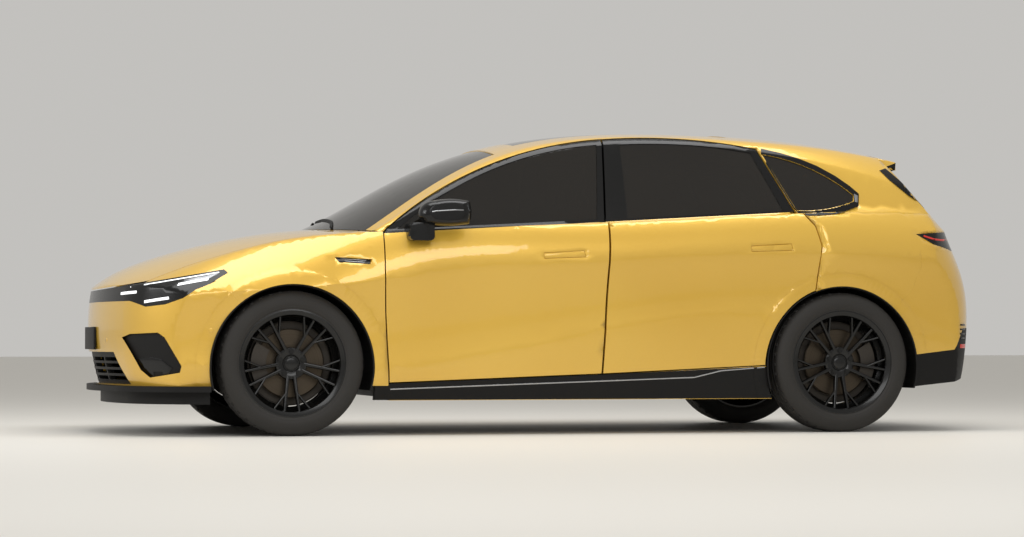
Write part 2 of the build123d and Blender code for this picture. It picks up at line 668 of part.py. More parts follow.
def make_front_tub():
    """The small luggage tub under the hood, open at the top, with four stops on its rim for the closed hood."""
    y, rim = RAIL_Y[1], TUB_WALL
    outer = block((FLOOR_X[1] + FIT_GAP, TUB_FRONT_X), (-y, y), (RAIL_Z[1] + FIT_GAP, 1000)) & lower_body(TUB_DROP)
    made = outer - block((FLOOR_X[1] + rim, TUB_FRONT_X - rim), (rim - y, y - rim), (RAIL_Z[1] + rim, 1100))
    for x in HOOD_STOPS_X:
        for side in (-1, 1):
            stop = Pos(x, side * (y - rim / 2), RAIL_Z[1] + 250) * Cylinder(rim / 2, 460)
            made = made + (stop & lower_body(PANEL_T + FIT_GAP))
    return made


# Suspension and wheels, made for the left side

def caliper(axle_x, side_x):
    """A brake caliper over the rim of the disc, ahead of the axle for side_x 1 and behind it for -1."""
    near, far = CALIPER_R
    z, reach = TYRE_R, 300
    wedge = [(axle_x, z), (axle_x + side_x * reach, z + 0.62 * reach), (axle_x + side_x * reach, z - 0.62 * reach)]
    made = across(far, axle_x, z, WHEEL_Y - 48, WHEEL_Y + 42) - across(near, axle_x, z, 0, FAR)
    made = made & side_prism(wedge, 0, FAR)
    return made - across(DISC_R + 6, axle_x, z, WHEEL_Y + DISC_Y[0] - 5, WHEEL_Y + DISC_Y[1] + 5)


def upright_arm(axle_x, side_x, y):
    """The bracket that holds the caliper on its upright."""
    return block((axle_x, axle_x + side_x * 130), (y, WHEEL_Y + DISC_Y[0] - 6), (TYRE_R - 34, TYRE_R + 34))


def make_knuckle():
    x, y = FRONT_AXLE_X, KINGPIN_Y
    low_z, high_z = LOWER_ARM_Z[1], UPPER_ARM_Z[0]
    boss = Pos(x, y, (low_z + high_z) / 2) * Cylinder(KNUCKLE_BOSS_R, high_z - low_z)
    bore = Pos(x, y, TYRE_R) * Cylinder(KINGPIN_R + FIT_GAP, 400)
    made = boss + across(SPINDLE_R + 8, x, TYRE_R, y, WHEEL_Y + DISC_Y[0] - 6)
    made = made + upright_arm(x, 1, y - 18) + caliper(x, 1)
    spindle = across(SPINDLE_R, x, TYRE_R, y + KINGPIN_R + 4, WHEEL_Y + 58)
    return (made - bore) + spindle


def wishbone(z_from, z_to):
    x, y, root_y = FRONT_AXLE_X, KINGPIN_Y, RAIL_Y[1] + FIT_GAP + 40
    eye = Pos(x, y, (z_from + z_to) / 2) * Cylinder(KNUCKLE_BOSS_R, z_to - z_from)
    path = [(x - 22, y), (x + 22, y), (x + 30, 640), (x + 130, root_y), (x - 130, root_y), (x - 30, 640)]
    return eye + plan_prism(path, z_from, z_to)


def make_front_subframe():
    """Side plates, cross members and two wishbones a side, whose pins hold the knuckles."""
    x, y, plate_y = FRONT_AXLE_X, KINGPIN_Y, RAIL_Y[1] + FIT_GAP
    low, high = LOWER_ARM_Z, UPPER_ARM_Z
    made = block((x - 150, x + 150), (plate_y, plate_y + 45), (low[0], high[1]))
    made = made + wishbone(low[0], low[1] - FIT_GAP) + wishbone(high[0] + FIT_GAP, high[1])
    made = made + Pos(x, y, low[1] + 12) * Cylinder(KINGPIN_R, 28)
    made = made + Pos(x, y, high[0] - 12) * Cylinder(KINGPIN_R, 28)
    made = made + mirrored(made)
    for member_x in (x - 120, x + 120):
        made = made + block((member_x - 22, member_x + 22), (-plate_y - 10, plate_y + 10), (low[0], low[0] + 45))
    return made + across(24, x - 90, TYRE_R - 80, -plate_y - 10, plate_y + 10)


def make_rear_subframe():
    """Cross members, arms, hub carriers with their spindles and calipers, and the drive shafts."""
    x, carrier_y = REAR_AXLE_X, 690
    made = block((x - 50, x + 50), (carrier_y, WHEEL_Y + DISC_Y[0] - 6), (TYRE_R - 95, TYRE_R + 95))
    made = made + across(SPINDLE_R, x, TYRE_R, carrier_y, WHEEL_Y + 58) + upright_arm(x, -1, carrier_y + 10)
    made = made + caliper(x, -1) + across(17, x, TYRE_R, 230 + FIT_GAP, carrier_y + 10)
    for arm_x, arm_z in ((x - 40, 262), (x + 40, 262), (x, 400)):
        made = made + block((arm_x - 16, arm_x + 16), (380, carrier_y + 10), (arm_z - 14, arm_z + 14))
    for member_x in (x - 120, x + 120):
        made = made + block((member_x - 24, member_x + 24), (0, 420), (238, 290))
        made = made + block((member_x - 24, member_x + 24), (360, 420), (238, CARGO_Z[0] - FIT_GAP))
    for z_range in ((245, 285), (386, 414)):
        made = made + block((x - 120, x + 120), (360, 400), z_range)
    return made + mirrored(made)


def make_tyre():
    """The tyre round the wheel's own axis, Y, centred on the origin."""
    half = [(BEAD_R + FIT_GAP, 90), (286, TYRE_HALF_W), (324, 106), (TYRE_R, 84)]
    path = [*half, *[(r, -y) for r, y in reversed(half)]]
    return revolve(Face(Wire(edges_of(path, lambda r, y: (r, y, 0)))), Axis.Y)


def spoke(start, end, start_w, end_w):
    """A straight spoke between two places (along, aside, out) in the wheel's plane, thinner towards its end."""
    (along_0, aside_0, out_0), (along_1, aside_1, out_1) = start, end
    run, rise = along_1 - along_0, aside_1 - aside_0
    length = sqrt(run * run + rise * rise)
    u = (-rise / length, run / length)
    faces = []
    for (along, aside, out), w, t in ((start, start_w, SPOKE_T[0]), (end, end_w, SPOKE_T[1])):
        corners = [(along + side * u[0] * w / 2, out + lift * t / 2, aside + side * u[1] * w / 2)
                   for side, lift in ((-1, -1), (1, -1), (1, 1), (-1, 1))]
        faces.append(Face(Wire([Line(a, b) for a, b in zip(corners, [*corners[1:], corners[0]])])))
    return loft(faces, ruled=True)


def make_rim():
    """Barrel, hub and five pairs of forked spokes, with the brake disc behind them."""
    outside = [(FLANGE_R, RIM_HALF_W), (FLANGE_R, 99), (BEAD_R, 90), (BEAD_R, 62), (216, 34), (216, -52), (BEAD_R, -72),
               (BEAD_R, -90), (FLANGE_R, -99), (FLANGE_R, -RIM_HALF_W)]
    inside = [(248, -RIM_HALF_W), (232, -86), (206, -48), (206, 36), (226, 56), (226, 94), (246, RIM_HALF_W)]
    made = revolve(Face(Wire(edges_of([*outside, *inside], lambda r, y: (r, y, 0)))), Axis.Y)
    made = made + across(HUB_R, 0, 0, 30, 66)
    pair = []
    for side in (-1, 1):
        pair.append(spoke((50, 15 * side, 48), (232, 36 * side, 76), 26, 17))
        pair.append(spoke((140, 25 * side, 62), (217, 89 * side, 76), 12, 13))
    for k in range(SPOKE_PAIRS):
        turn = Rot(0, 90 + 360 / SPOKE_PAIRS * k, 0)
        made = made + [turn * piece for piece in pair]
    made = made - across(SPINDLE_BORE_R, 0, 0, -200, 62)
    disc = across(DISC_R, 0, 0, *DISC_Y) + across(HUB_R + 6, 0, 0, DISC_Y[1], 30 - FIT_GAP)
    disc = disc - across(SPINDLE_BORE_R, 0, 0, -200, 200)
    return group([*made.solids(), *disc.solids()])


# Interior

def make_seat():
    """One front seat about its own place between the floor and the headrest, facing forward."""
    cushion = fillet(block((-120, 380), (-245, 245), (480, 600)).edges(), 40)
    back = Pos(-205, 0, 850) * Rot(0, -17, 0) * fillet(Box(120, 470, 640).edges(), 40)
    head = Pos(-325, 0, 1228) * Rot(0, -17, 0) * fillet(Box(80, 250, 150).edges(), 30)
    posts = Pos(-306, 0, 1150) * Rot(0, -17, 0) * Box(16, 120, 120)
    plinth = block((-60, 320), (-180, 180), (FLOOR_Z[1] + FIT_GAP, 500))
    return cushion + back + head + posts + plinth


def make_front_seats():
    return both(make_seat().moved(Location((0, SEAT_Y, 0))))


def make_rear_seat():
    cushion = fillet(block((-970, -490), (-620, 620), (430, 580)).edges(), 40)
    plinth = block((-970, -540), (-600, 600), (FLOOR_Z[1] + FIT_GAP, 450))
    back = Pos(-1000, 0, 830) * Rot(0, -18, 0) * fillet(Box(110, 1090, 600).edges(), 40)
    return cushion + plinth + back


def column_frame():
    """The steering wheel's place: its own Z points up the column to the driver."""
    return Location(STEERING_WHEEL_AT) * Location((0, 0, 0), (0, COLUMN_TILT - 90, 0))


def make_dashboard():
    front_x = FLOOR_X[1] - FIREWALL_T - FIT_GAP
    path = [(front_x, 620), (front_x, 840), (800, 930), ("via", (620, 950)), (520, 905), ("via", (488, 850)), (520, 780),
            (640, 690), (660, 620)]
    made = side_prism(path, -715, 715)
    console = block((-140, 700), (-105, 105), (FLOOR_Z[1] + FIT_GAP, 545))
    made = made + fillet(console.edges().filter_by(Axis.X), 24) + block((600, 700), (-105, 105), (500, 700))
    return made + column_frame() * (Pos(0, 0, -120) * Cylinder(26, 190) + Pos(0, 0, -30) * Cylinder(COLUMN_R, 60))


def make_steering_wheel():
    made = Rot(0, 0, 30) * Torus(STEERING_WHEEL_R, 15) + Cylinder(58, 40)
    made = made + Box(40, 2 * STEERING_WHEEL_R - 8, 14)
    made = made + Pos(-STEERING_WHEEL_R / 2, 0, 0) * Box(STEERING_WHEEL_R - 8, 40, 14)
    return column_frame() * (made - Pos(0, 0, -20) * Cylinder(COLUMN_R + FIT_GAP, 41))


# Every piece, under its own name

pieces = {
    "hood": make_hood(),
    "front_fenders": both(make_fender()),
    "front_bumper": make_front_bumper(),
    "headlamps": make_headlamps(),
    "front_grille": make_front_grille(),
    "front_splitter": make_splitter(),
    "rear_bumper": make_rear_bumper(),
    "rear_diffuser": make_diffuser(),
    "roof": make_roof(),
    "roof_glass": make_sunroof(),
    "windscreen": make_windscreen(),
    "tailgate": make_tailgate(),
    "tailgate_glass": make_tailgate_glass(),
    "tailgate_lamp": make_tailgate_lamp(),
    "tail_lamps": make_tail_lamps(),
    "quarter_windows": both(make_door_glass(QUARTER_WINDOW)),
    "sill_trims": both(make_sill_trim()),
    "floor_pan": make_floor_pan(),
    "wheel_liners": make_wheel_liners(),
    "battery_pack": make_battery(),
    "drive_unit": make_drive_unit(),
    "front_tub": make_front_tub(),
    "front_subframe": make_front_subframe(),
    "rear_subframe": make_rear_subframe(),
    "front_seats": make_front_seats(),
    "rear_seat": make_rear_seat(),
    "dashboard": make_dashboard(),
    "steering_wheel": make_steering_wheel(),
}
sided = {
    "side_frame": make_side_frame(),
    "front_door": make_door(front_door_path(), FRONT_WINDOW, FRONT_HANDLE, FRONT_DOOR_STEP),
    "rear_door": make_door(rear_door_path(), REAR_WINDOW_SIDE, REAR_HANDLE, REAR_DOOR_STEP),
    "front_door_glass": make_door_glass(FRONT_WINDOW),
    "rear_door_glass": make_door_glass(REAR_WINDOW_SIDE),
    "mirror": make_mirror(),
    "front_knuckle": make_knuckle(),
}
tyre, rim = make_tyre(), make_rim()
for end, axle_x in (("front", FRONT_AXLE_X), ("rear", REAR_AXLE_X)):
    at_hub = Location((axle_x, WHEEL_Y, TYRE_R))
    sided[f"{end}_tyre"] = tyre.moved(at_hub)
    sided[f"{end}_rim"] = rim.moved(at_hub)
for name, piece in sided.items():
    pieces[f"{name}_left"] = piece
    pieces[f"{name}_right"] = mirrored(piece)

os.makedirs("parts", exist_ok=True)
for name, piece in pieces.items():
    export_step(piece, f"parts/{name}.step")
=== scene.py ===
import json
import math

import bmesh
import bpy
from mathutils import Matrix, Vector
from mathutils.bvhtree import BVHTree

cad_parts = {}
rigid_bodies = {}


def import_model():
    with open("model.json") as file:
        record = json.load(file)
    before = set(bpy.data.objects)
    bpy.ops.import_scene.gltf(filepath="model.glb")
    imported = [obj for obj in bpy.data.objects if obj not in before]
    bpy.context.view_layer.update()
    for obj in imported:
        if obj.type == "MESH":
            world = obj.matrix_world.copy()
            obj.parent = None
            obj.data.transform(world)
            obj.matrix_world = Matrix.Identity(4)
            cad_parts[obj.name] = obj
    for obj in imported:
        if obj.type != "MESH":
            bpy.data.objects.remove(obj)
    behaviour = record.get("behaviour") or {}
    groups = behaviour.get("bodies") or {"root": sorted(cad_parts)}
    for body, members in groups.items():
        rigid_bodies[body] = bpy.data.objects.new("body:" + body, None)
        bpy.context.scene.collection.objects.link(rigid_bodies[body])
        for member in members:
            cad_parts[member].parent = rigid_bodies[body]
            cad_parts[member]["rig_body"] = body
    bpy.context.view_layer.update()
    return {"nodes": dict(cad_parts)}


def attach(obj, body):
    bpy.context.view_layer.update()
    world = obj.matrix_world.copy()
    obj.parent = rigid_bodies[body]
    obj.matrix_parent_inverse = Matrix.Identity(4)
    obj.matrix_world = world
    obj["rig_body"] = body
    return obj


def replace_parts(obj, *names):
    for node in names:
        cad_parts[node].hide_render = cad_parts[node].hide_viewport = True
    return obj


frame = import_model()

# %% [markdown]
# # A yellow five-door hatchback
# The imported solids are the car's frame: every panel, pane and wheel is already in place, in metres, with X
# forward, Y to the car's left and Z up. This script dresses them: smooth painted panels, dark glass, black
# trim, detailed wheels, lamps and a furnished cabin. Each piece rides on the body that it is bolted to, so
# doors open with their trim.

SIDES = {"left": 1, "right": -1}

# %% [markdown]
# ## Colours and nodes
# Colours are written as sRGB hex values, as a paint chart gives them, and one function turns them into the
# linear numbers that the shader wants. One small function adds a shader node with its settings and its links.


# %% Colour and node helpers
def linear(code):
    """The linear colour of an sRGB hex value such as 'D9B23A'."""
    channels = [int(code[i:i + 2], 16) / 255 for i in (0, 2, 4)]
    return [c / 12.92 if c <= 0.04045 else ((c + 0.055) / 1.055) ** 2.4 for c in channels] + [1.0]


def node(tree, kind, links=None, **settings):
    """Adds a node of a kind, sets its properties, and fills its inputs with values or with other nodes' outputs."""
    made = tree.nodes.new(kind)
    for key, value in settings.items():
        setattr(made, key, value)
    for key, value in (links or {}).items():
        if isinstance(value, bpy.types.NodeSocket):
            tree.links.new(value, made.inputs[key])
        else:
            made.inputs[key].default_value = value
    return made


def new_material(name, **shader):
    """A material with a Principled shader, and its tree, shader and Object coordinates for the pattern to come."""
    made = bpy.data.materials.new(name)
    made.use_nodes = True
    tree = made.node_tree
    surface = tree.nodes["Principled BSDF"]
    for key, value in shader.items():
        surface.inputs[key.replace("_", " ")].default_value = value
    place = node(tree, "ShaderNodeTexCoord").outputs["Object"]
    return made, tree, surface, place


def blend(tree, factor, dark, light, surface):
    """Colours a shader between two tones by a pattern, and gives the colour back. A colour mix has its factor at
    input 0 and its tones at 6 and 7."""
    mix = node(tree, "ShaderNodeMix", data_type="RGBA")
    mix.inputs[6].default_value = linear(dark)
    mix.inputs[7].default_value = linear(light)
    tree.links.new(factor, mix.inputs[0])
    tree.links.new(mix.outputs[2], surface.inputs["Base Color"])
    return mix.outputs[2]


def per_mm(size_mm):
    """The scale of a pattern whose features are size_mm wide, in Object coordinates in metres."""
    return 1000.0 / size_mm


print("helpers ready; mid grey 808080 is", round(linear("808080")[0], 3), "in linear light")

# %% [markdown]
# ## Car paint
# The body is pressed steel under a metallic base coat and a clear lacquer. The flakes, well under a
# millimetre on the real car, are drawn coarse enough to show, as small changes of tone, and a slow drift
# keeps large panels from looking printed. The lacquer is a coat with its own sharp gloss, which is what draws
# the bright lines along the shoulders.

# %% Metallic paint
FLAKE_MM = 1.4
DRIFT_MM = 900.0


def make_paint():
    """Two patterns added: flakes that sparkle from near, and a drift of tone along the panels."""
    made, tree, surface, place = new_material("metallic_yellow_lacquer", Metallic=0.35, Roughness=0.34,
                                              Coat_Weight=1.0, Coat_Roughness=0.03)
    flake = node(tree, "ShaderNodeTexNoise", {"Vector": place, "Scale": per_mm(FLAKE_MM), "Detail": 2.0})
    drift = node(tree, "ShaderNodeTexNoise", {"Vector": place, "Scale": per_mm(DRIFT_MM), "Detail": 1.0})
    both = node(tree, "ShaderNodeMath", {0: flake.outputs["Fac"], 1: drift.outputs["Fac"]}, operation="ADD")
    tone = node(tree, "ShaderNodeMapRange", {"Value": both.outputs["Value"], "From Min": 0.6, "From Max": 1.4})
    blend(tree, tone.outputs["Result"], "D2A432", "E0B645", surface)
    return made


PAINT = make_paint()
print("paint mixed:", PAINT.name)

# %% [markdown]
# ## Plastics, metals, glass and rubber
# Everything that isn't painted is moulded, cast or drawn. One function covers those surfaces: a noise of the
# grain's real size mixes two near tones and lifts the surface a little, and roughness decides whether it
# shines. Glass gets a function of its own, because light has to pass through it.

# %% Moulded, cast and glazed finishes
HAZE_MM = 400.0


def make_grained(name, dark, light, roughness, grain_mm, depth, **shader):
    """A moulded, cast or drawn surface: two near tones and a grain that breaks up its gloss."""
    made, tree, surface, place = new_material(name, Roughness=roughness, **shader)
    grain = node(tree, "ShaderNodeTexNoise", {"Vector": place, "Scale": per_mm(grain_mm), "Detail": 3.0})
    blend(tree, grain.outputs["Fac"], dark, light, surface)
    bump = node(tree, "ShaderNodeBump", {"Height": grain.outputs["Fac"], "Strength": depth, "Distance": 0.001})
    tree.links.new(bump.outputs["Normal"], surface.inputs["Normal"])
    return made


def make_glass():
    """Privacy glass: a dark tint that lets little light through, under a clean reflecting face."""
    made, tree, surface, place = new_material("privacy_glass", Roughness=0.02, IOR=1.5, Transmission_Weight=0.75)
    haze = node(tree, "ShaderNodeTexNoise", {"Vector": place, "Scale": per_mm(HAZE_MM), "Detail": 1.0})
    blend(tree, haze.outputs["Fac"], "2B2620", "38322A", surface)
    return made


GLASS = make_glass()
# lacquered moulding: a deep black with soft streaks of light
BLACK_GLOSS = make_grained("piano_black_plastic", "050505", "0A0A0A", 0.24, 60.0, 0.01, Coat_Weight=0.15,
                           Specular_IOR_Level=0.3)
# mould-grained plastic: a dull black that swallows reflections
BLACK_PLASTIC = make_grained("grained_black_plastic", "070606", "0E0D0C", 0.55, 2.2, 0.25, Specular_IOR_Level=0.25)
# cured rubber: a warm dark grey, almost without shine
RUBBER = make_grained("tyre_rubber", "1B1917", "272420", 0.72, 3.0, 0.3)
# lacquered casting: black, with a thin light along each edge
RIM_BLACK = make_grained("rim_black_lacquer", "060606", "0C0C0B", 0.24, 30.0, 0.02, Coat_Weight=0.2,
                         Specular_IOR_Level=0.3)
# sand-cast steel: rough and grey brown
CAST = make_grained("cast_steel", "3A3632", "4B4640", 0.6, 4.0, 0.35, Metallic=0.7)
# sprayed sealing coat: pebbled and matt
UNDERBODY = make_grained("underbody_coating", "1A1A1A", "262626", 0.8, 5.0, 0.4)
# die-cast aluminium: a cool grey with a cloudy sheen
CASE = make_grained("cast_aluminium_case", "5A5B5C", "6B6C6D", 0.5, 6.0, 0.2, Metallic=0.8)
# anodised strip: satin silver
BRIGHT = make_grained("satin_bright_trim", "97989A", "B2B3B5", 0.22, 25.0, 0.02, Metallic=0.9)
# tanned hide: fine pores and a half-dull shine
LEATHER = make_grained("seat_leather", "191817", "242220", 0.5, 3.0, 0.45)
print("finishes ready:", len(bpy.data.materials))

# %% [markdown]
# ## Panels
# The solids arrive as loose flat triangles, so a glossy panel would look cut from facets. Each panel is
# copied, its doubled points are merged, and its faces are shaded smooth up to a crease angle: the form stays
# that of the solid. Parts that are rough or hidden keep their own mesh and only take a material.

# %% Smooth copies of the solids
CREASE = math.radians(28)
MERGE_WITHIN = 0.00002
THINNEST = 0.00001


def finish_mesh(name, bm, material, body, crease=CREASE):
    """Turns a bmesh into a piece that rides on a body and takes the material it is given."""
    mesh = bpy.data.meshes.new(name)
    bm.to_mesh(mesh)
    bm.free()
    mesh.polygons.foreach_set("use_smooth", [True] * len(mesh.polygons))
    mesh.set_sharp_from_angle(angle=crease)
    mesh.materials.append(material)
    piece = bpy.data.objects.new(name, mesh)
    bpy.context.scene.collection.objects.link(piece)
    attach(piece, body)
    return piece


def copy_of(name):
    """A copy of a solid's mesh with its doubled points merged."""
    bm = bmesh.new()
    bm.from_mesh(frame["nodes"][name].data)
    bmesh.ops.remove_doubles(bm, verts=bm.verts, dist=MERGE_WITHIN)
    bmesh.ops.dissolve_degenerate(bm, edges=bm.edges, dist=THINNEST)
    return bm


def evened(piece):
    """Lets large faces lead the shading, so that thin triangles along a cut don't dent the reflections."""
    shading = piece.modifiers.new("even_shading", "WEIGHTED_NORMAL")
    shading.keep_sharp = True
    return piece


def skin(name, material, crease=CREASE):
    """A smooth copy of a solid, which stands for it."""
    piece = finish_mesh(f"{name}_skin", copy_of(name), material, frame["nodes"][name]["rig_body"], crease)
    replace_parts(piece, name)
    return evened(piece)


PAINTED = ["hood", "front_fenders", "front_bumper", "rear_bumper", "roof", "tailgate", "side_frame_left",
           "side_frame_right"]
GLAZED = ["windscreen", "roof_glass", "quarter_windows", "tailgate_glass", "front_door_glass_left",
          "front_door_glass_right", "rear_door_glass_left", "rear_door_glass_right"]
MOULDED = ["front_grille", "rear_diffuser", "sill_trims", "wheel_liners", "steering_wheel", "dashboard"]
PLAIN = {"front_splitter": BLACK_PLASTIC, "floor_pan": UNDERBODY, "front_tub": UNDERBODY, "battery_pack": CASE,
         "drive_unit": CASE, "front_subframe": CAST, "rear_subframe": CAST, "front_knuckle_left": CAST,
         "front_knuckle_right": CAST}

for name in PAINTED:
    skin(name, PAINT)
for name in GLAZED:
    skin(name, GLASS)
for name in MOULDED:
    skin(name, BLACK_PLASTIC)
for name in ("headlamps", "mirror_left", "mirror_right"):
    skin(name, BLACK_GLOSS)
for name in ("tail_lamps", "tailgate_lamp"):
    skin(name, BLACK_GLOSS)
for name, material in PLAIN.items():
    frame["nodes"][name].data.materials.clear()
    frame["nodes"][name].data.materials.append(material)
print("dressed", len(frame["nodes"]), "solids")

# %% [markdown]
# ## Tyres
# A tyre is a moulded ring: soft round shoulders, a sidewall with a fine rib where it meets the rim, and a
# tread cut by grooves. One half of its cut-through shape is drawn, mirrored, and spun round the axle. The
# cross grooves of the shoulders are then pressed in face by face, so the road pattern is real geometry and
# not only a shade.

# %% Spun tyres with pressed grooves
MM = 0.001
AXLE_Z = 0.3425
AXLES = {"front": 1.35, "rear": -1.385}
WHEEL_Y = 0.8
TYRE_STEPS = 132
GROOVE_ABOVE = 337
GROOVE_BAND = (58, 92)
GROOVE_EVERY = 3
GROOVE_EDGE = 1.6
GROOVE_DEPTH = 4.0
TYRE_CREASE = math.radians(35)
TYRE_HALF = [(241.6, 90), (246, 97), (258, 105.5), (264, 107.5), (266, 109.5), (270, 109.5), (272, 110.5),
             (286, 112.5), (304, 111), (320, 106.5), (331, 100), (338, 92), (341.5, 84), (342.4, 76), (342.5, 60),
             (336, 58), (336, 50), (342.5, 48), (342.5, 20), (336, 18), (336, 10), (342.5, 8)]


def spun(profile, steps, closed=True):
    """A shape turned round the Y axis from its profile of (radius, along) points in millimetres."""
    bm = bmesh.new()
    ring = [bm.verts.new((0, along * MM, radius * MM)) for radius, along in profile]
    edges = [bm.edges.new(pair) for pair in zip(ring, ring[1:])]
    if closed:
        edges.append(bm.edges.new((ring[-1], ring[0])))
    bmesh.ops.spin(bm, geom=ring + edges, cent=(0, 0, 0), axis=(0, 1, 0), angle=math.tau, steps=steps,
                   use_merge=True)
    bmesh.ops.remove_doubles(bm, verts=bm.verts, dist=THINNEST)
    bmesh.ops.recalc_face_normals(bm, faces=bm.faces)
    return bm


def to_hub(bm, end, side):
    """Moves a wheel piece from the origin to its hub; on the right it is turned so that its face looks out."""
    turn = Matrix.Rotation(0 if SIDES[side] > 0 else math.pi, 4, "Z")
    place = Matrix.Translation((AXLES[end], SIDES[side] * WHEEL_Y, AXLE_Z))
    bmesh.ops.transform(bm, matrix=place @ turn, verts=bm.verts)


def make_tyre(end, side):
    """One tyre on its hub, with every third field of both shoulders pressed in."""
    bm = spun(TYRE_HALF + [(radius, -along) for radius, along in reversed(TYRE_HALF)], TYRE_STEPS)
    shoulder = []
    for face in bm.faces:
        middle = face.calc_center_median()
        radius = math.hypot(middle.x, middle.z) / MM
        step = round(math.atan2(middle.x, middle.z) / math.tau * TYRE_STEPS - 0.5)
        in_band = GROOVE_BAND[0] < abs(middle.y) / MM < GROOVE_BAND[1]
        if radius > GROOVE_ABOVE and in_band and step % GROOVE_EVERY == 0:
            shoulder.append(face)
    bmesh.ops.inset_individual(bm, faces=shoulder, thickness=GROOVE_EDGE * MM, depth=-GROOVE_DEPTH * MM,
                               use_even_offset=True)
    to_hub(bm, end, side)
    piece = finish_mesh(f"{end}_tyre_{side}_tread", bm, RUBBER, f"{end}_wheel_{side}", TYRE_CREASE)
    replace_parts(piece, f"{end}_tyre_{side}")
    return piece


tyres = [make_tyre(end, side) for end in AXLES for side in SIDES]
print("tyres with", len(tyres[0].data.polygons), "faces each")

# %% [markdown]
# ## Rims
# The wheels are cast in one piece and lacquered black: a barrel, a dished hub and five pairs of spokes, each
# of which forks into a side branch on its way to the rim. A spoke starts as a small four-sided section that
# is extruded to the rim, squeezed there and rounded along its edges. One pair is made, then copied round the
# axle.

# %% Barrels, forked spokes, nuts and plain caps
RIM_BARREL = [(258, 104), (258, 100), (255, 97), (241.5, 90), (241.3, 64), (216, 36), (216, -52), (241.3, -72),
              (241.3, -90), (257, -99), (258, -104), (248, -104), (232, -86), (206, -48), (206, 34), (224, 54),
              (227, 60), (227, 92), (231, 98), (246, 103), (250, 105)]
HUB_FACE = [(0, 60), (33, 60), (34, 56), (38, 56), (40, 60), (46, 64), (66, 65), (74, 60), (77, 50), (72, 32),
            (33, 32), (33, 40), (0, 40)]
CAP_FACE = [(0, 66), (20, 65.4), (28, 63.6), (31, 61), (31, 52), (0, 52)]
ARMS = 5
RIM_STEPS = 96
FACE_STEPS = 48
RIM_CREASE = math.radians(32)
NUT_CIRCLE = 57
# a nut's washer and its hexagon: radius, foot, top and sides; both taper to NUT_TAPER
NUT_STACK = ((14.5, 60, 66.4, 24), (10.5, 62, 70, 6))
NUT_TAPER = 0.9
# start and end as (along, aside, out) from the axle, then the widths at both ends
SPOKE_BARS = [((46, 14, 50), (233, 36, 79), 25, 16), ((138, 25, 64), (219, 90, 79), 13, 13)]
SPOKE_DEPTH = 26
SPOKE_ROUND = 3.2
# how much narrower a spoke's front is than its back, and how much flatter its outer end
FRONT_SHARE = 0.66
END_SHARE = 0.85


def add_bar(bm, start, end, start_width, end_width):
    """A tapered bar from start to end: a quad with a narrower front, extruded, squeezed and rounded."""
    first, last = Vector(start) * MM, Vector(end) * MM
    run = last - first
    aside = Vector((-run.y, run.x, 0)).normalized() * start_width * MM / 2
    out = Vector((0, 0, SPOKE_DEPTH * MM / 2))
    front = aside * FRONT_SHARE
    corners = [first - aside - out, first + aside - out, first + front + out, first - front + out]
    quad = bm.faces.new([bm.verts.new((at.x, at.z, at.y)) for at in corners])
    grown = bmesh.ops.extrude_face_region(bm, geom=[quad])["geom"]
    moved = [item for item in grown if isinstance(item, bmesh.types.BMVert)]
    bmesh.ops.translate(bm, vec=(run.x, run.z, run.y), verts=moved)
    centre = sum((vert.co for vert in moved), Vector()) / len(moved)
    shrink = end_width / start_width
    bmesh.ops.scale(bm, vec=(shrink, END_SHARE, shrink), space=Matrix.Translation(-centre), verts=moved)
    long_edges = [edge for vert in moved for edge in vert.link_edges if edge.other_vert(vert) not in moved]
    bmesh.ops.bevel(bm, geom=long_edges, offset=SPOKE_ROUND * MM, offset_type="OFFSET", segments=2, profile=0.5,
                    affect="EDGES", material=-1)


def make_rim(end, side):
    """One rim on its hub: barrel, spokes, hub face, cap and nuts in one mesh."""
    bm = spun(RIM_BARREL, RIM_STEPS)
    pair = bmesh.new()
    for (along, aside, out), (far_along, far_aside, far_out), width, far_width in SPOKE_BARS:
        for hand in (-1, 1):
            add_bar(pair, (along, hand * aside, out), (far_along, hand * far_aside, far_out), width, far_width)
    bmesh.ops.recalc_face_normals(pair, faces=pair.faces)
    mesh = bpy.data.meshes.new("spoke_pair")
    arms = [math.radians(90 + 360 / ARMS * k) for k in range(ARMS)]
    for angle in arms:
        turned = pair.copy()
        bmesh.ops.rotate(turned, cent=(0, 0, 0), matrix=Matrix.Rotation(angle, 3, "Y"), verts=turned.verts)
        turned.to_mesh(mesh)
        bm.from_mesh(mesh)
        turned.free()
    pair.free()
    for profile in (HUB_FACE, CAP_FACE):
        face = spun(profile, FACE_STEPS, closed=False)
        face.to_mesh(mesh)
        bm.from_mesh(mesh)
        face.free()
    for angle in arms:
        at = Vector((math.cos(angle) * NUT_CIRCLE, 0, math.sin(angle) * NUT_CIRCLE)) * MM
        for radius, low, high, sides in NUT_STACK:
            middle = Matrix.Translation(at + Vector((0, (low + high) / 2 * MM, 0)))
            bmesh.ops.create_cone(bm, cap_ends=True, segments=sides, radius1=radius * MM,
                                  radius2=radius * NUT_TAPER * MM, depth=(high - low) * MM,
                                  matrix=middle @ Matrix.Rotation(-math.pi / 2, 4, "X"))
    bpy.data.meshes.remove(mesh)
    to_hub(bm, end, side)
    piece = finish_mesh(f"{end}_rim_{side}_cast", bm, RIM_BLACK, f"{end}_wheel_{side}", RIM_CREASE)
    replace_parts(piece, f"{end}_rim_{side}")
    return piece


rims = [make_rim(end, side) for end in AXLES for side in SIDES]
print("rims with", len(rims[0].data.polygons), "faces each")

# %% [markdown]
# ## Brake discs
# A disc is turned from grey iron: the pad leaves bright rings on it, and the hat in its middle stays dull.
# The rings follow the distance from the axle, so the pattern is centred on the hub by a Mapping node. Behind
# each disc stands a pressed shield that keeps dirt off it, and light out of the wheel.

